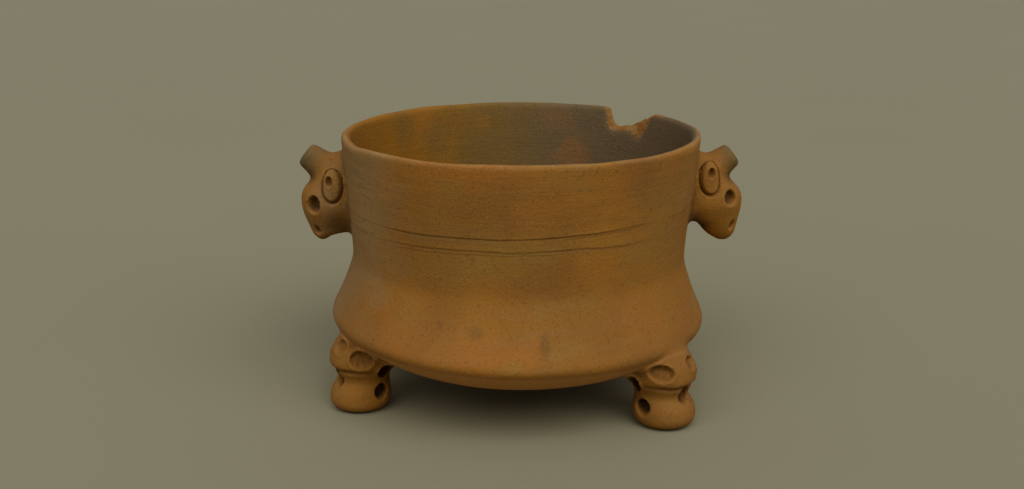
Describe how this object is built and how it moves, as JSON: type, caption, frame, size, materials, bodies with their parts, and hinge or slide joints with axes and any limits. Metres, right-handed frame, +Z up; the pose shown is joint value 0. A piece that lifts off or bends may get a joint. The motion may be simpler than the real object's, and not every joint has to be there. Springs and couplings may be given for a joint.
{
  "type": "tripod olla",
  "caption": "Hollow fired-clay jar on modelled face feet, with a concave wall, a low shoulder, a chipped rim and an animal-head lug on each side.",
  "frame": {"origin": "on the ground under the jar's own axis, which is the middle of the overall box to within 2 mm", "axes": "+Z up, +X through the middle of one head lug, -Y towards the front, the side between two feet that shows in a front view"},
  "size_m": [0.2463, 0.213, 0.1486],
  "materials": {
    "fired_clay": "unglazed orange-brown clay, wiped smooth, worn and dirty, with grey fire clouds and a dark inside"
  },
  "bodies": {
    "root": {"tripod_olla": "fired_clay"}
  },
  "joints": []
}
